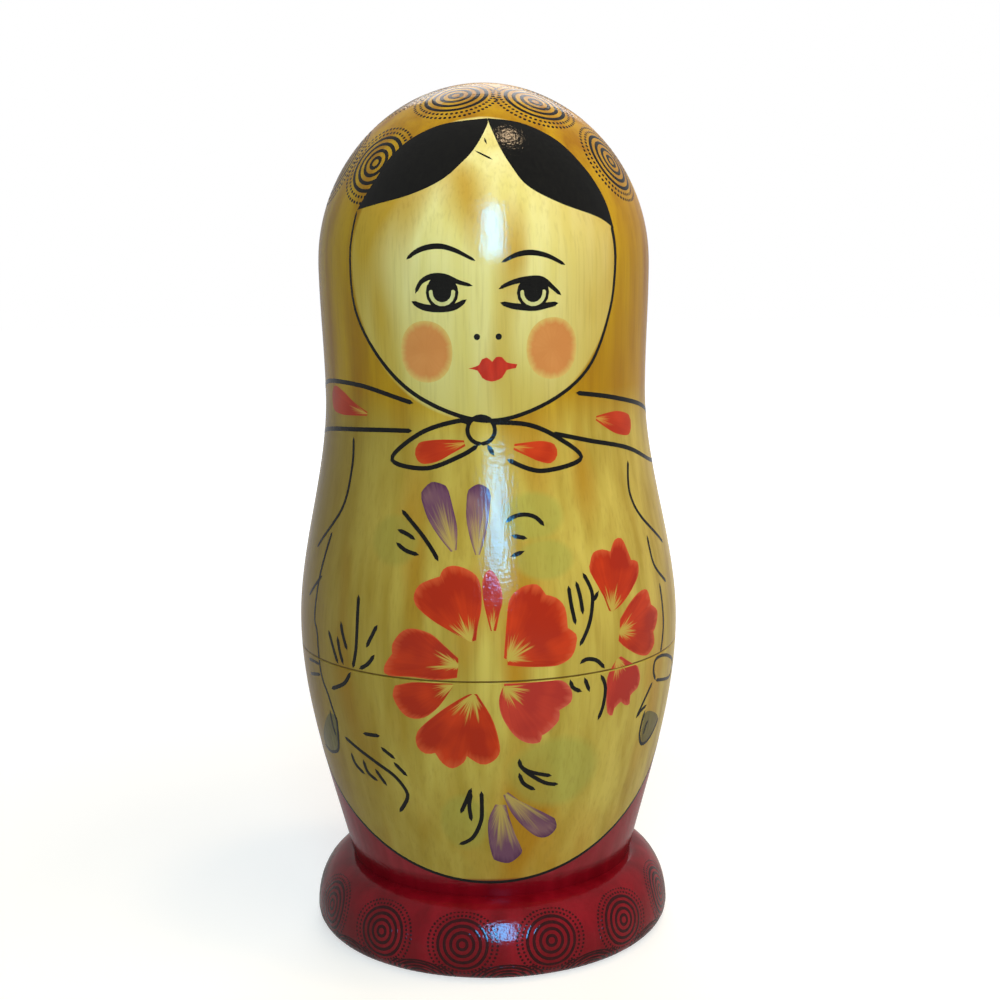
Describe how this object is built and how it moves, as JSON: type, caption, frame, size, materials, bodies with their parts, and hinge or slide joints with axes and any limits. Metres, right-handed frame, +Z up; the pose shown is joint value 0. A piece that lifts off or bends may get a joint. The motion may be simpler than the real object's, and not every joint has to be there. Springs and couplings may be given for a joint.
{
  "type": "nesting doll",
  "caption": "Matryoshka set of turned limewood dolls, each opening at the belly and nested in the next, painted with flowers under glossy lacquer, on a flared foot",
  "frame": {"origin": "middle of the flat face that the largest doll stands on", "axes": "+Z is up along the turning axis, the painted face looks along -Y, and +X is to the right of someone facing the doll"},
  "size_m": [0.1126, 0.1126, 0.25],
  "materials": {
    "golden_lacquered_limewood": "yellow-stained limewood with painted ornament under glossy clear lacquer, bare wood inside",
    "crimson_lacquered_limewood": "crimson-stained limewood with painted ornament under glossy clear lacquer, bare wood inside"
  },
  "bodies": {
    "doll_01_bottom": {"doll_01_bottom": "crimson_lacquered_limewood"},
    "doll_01_top": {"doll_01_top": "golden_lacquered_limewood"},
    "doll_02_bottom": {"doll_02_bottom": "crimson_lacquered_limewood"},
    "doll_02_top": {"doll_02_top": "golden_lacquered_limewood"},
    "doll_03_bottom": {"doll_03_bottom": "crimson_lacquered_limewood"},
    "doll_03_top": {"doll_03_top": "golden_lacquered_limewood"},
    "doll_04_bottom": {"doll_04_bottom": "crimson_lacquered_limewood"},
    "doll_04_top": {"doll_04_top": "golden_lacquered_limewood"},
    "doll_05_bottom": {"doll_05_bottom": "crimson_lacquered_limewood"},
    "doll_05_top": {"doll_05_top": "golden_lacquered_limewood"},
    "doll_06_bottom": {"doll_06_bottom": "crimson_lacquered_limewood"},
    "doll_06_top": {"doll_06_top": "golden_lacquered_limewood"},
    "doll_07_bottom": {"doll_07_bottom": "crimson_lacquered_limewood"},
    "doll_07_top": {"doll_07_top": "golden_lacquered_limewood"},
    "doll_08_bottom": {"doll_08_bottom": "crimson_lacquered_limewood"},
    "doll_08_top": {"doll_08_top": "golden_lacquered_limewood"},
    "doll_09_bottom": {"doll_09_bottom": "crimson_lacquered_limewood"},
    "doll_09_top": {"doll_09_top": "golden_lacquered_limewood"},
    "seed_doll": {"seed_doll": "golden_lacquered_limewood"}
  },
  "joints": [
    {"name": "doll_02_lift", "type": "slide", "parent": "doll_01_bottom", "child": "doll_02_bottom", "axis": [0, 0, 1], "range_m": [0, 0.083]},
    {"name": "doll_03_lift", "type": "slide", "parent": "doll_02_bottom", "child": "doll_03_bottom", "axis": [0, 0, 1], "range_m": [0, 0.072]},
    {"name": "doll_04_lift", "type": "slide", "parent": "doll_03_bottom", "child": "doll_04_bottom", "axis": [0, 0, 1], "range_m": [0, 0.063]},
    {"name": "doll_05_lift", "type": "slide", "parent": "doll_04_bottom", "child": "doll_05_bottom", "axis": [0, 0, 1], "range_m": [0, 0.054]},
    {"name": "doll_06_lift", "type": "slide", "parent": "doll_05_bottom", "child": "doll_06_bottom", "axis": [0, 0, 1], "range_m": [0, 0.046]},
    {"name": "doll_07_lift", "type": "slide", "parent": "doll_06_bottom", "child": "doll_07_bottom", "axis": [0, 0, 1], "range_m": [0, 0.039]},
    {"name": "doll_08_lift", "type": "slide", "parent": "doll_07_bottom", "child": "doll_08_bottom", "axis": [0, 0, 1], "range_m": [0, 0.032]},
    {"name": "doll_09_lift", "type": "slide", "parent": "doll_08_bottom", "child": "doll_09_bottom", "axis": [0, 0, 1], "range_m": [0, 0.027]},
    {"name": "seed_doll_lift", "type": "slide", "parent": "doll_09_bottom", "child": "seed_doll", "axis": [0, 0, 1], "range_m": [0, 0.021]},
    {"name": "doll_09_top_lift", "type": "slide", "parent": "seed_doll", "child": "doll_09_top", "axis": [0, 0, 1], "range_m": [0, 0.031]},
    {"name": "doll_08_top_lift", "type": "slide", "parent": "doll_09_top", "child": "doll_08_top", "axis": [0, 0, 1], "range_m": [0, 0.041]},
    {"name": "doll_07_top_lift", "type": "slide", "parent": "doll_08_top", "child": "doll_07_top", "axis": [0, 0, 1], "range_m": [0, 0.052]},
    {"name": "doll_06_top_lift", "type": "slide", "parent": "doll_07_top", "child": "doll_06_top", "axis": [0, 0, 1], "range_m": [0, 0.065]},
    {"name": "doll_05_top_lift", "type": "slide", "parent": "doll_06_top", "child": "doll_05_top", "axis": [0, 0, 1], "range_m": [0, 0.079]},
    {"name": "doll_04_top_lift", "type": "slide", "parent": "doll_05_top", "child": "doll_04_top", "axis": [0, 0, 1], "range_m": [0, 0.094]},
    {"name": "doll_03_top_lift", "type": "slide", "parent": "doll_04_top", "child": "doll_03_top", "axis": [0, 0, 1], "range_m": [0, 0.111]},
    {"name": "doll_02_top_lift", "type": "slide", "parent": "doll_03_top", "child": "doll_02_top", "axis": [0, 0, 1], "range_m": [0, 0.13]},
    {"name": "doll_01_top_lift", "type": "slide", "parent": "doll_02_top", "child": "doll_01_top", "axis": [0, 0, 1], "range_m": [0, 0.151]}
  ]
}
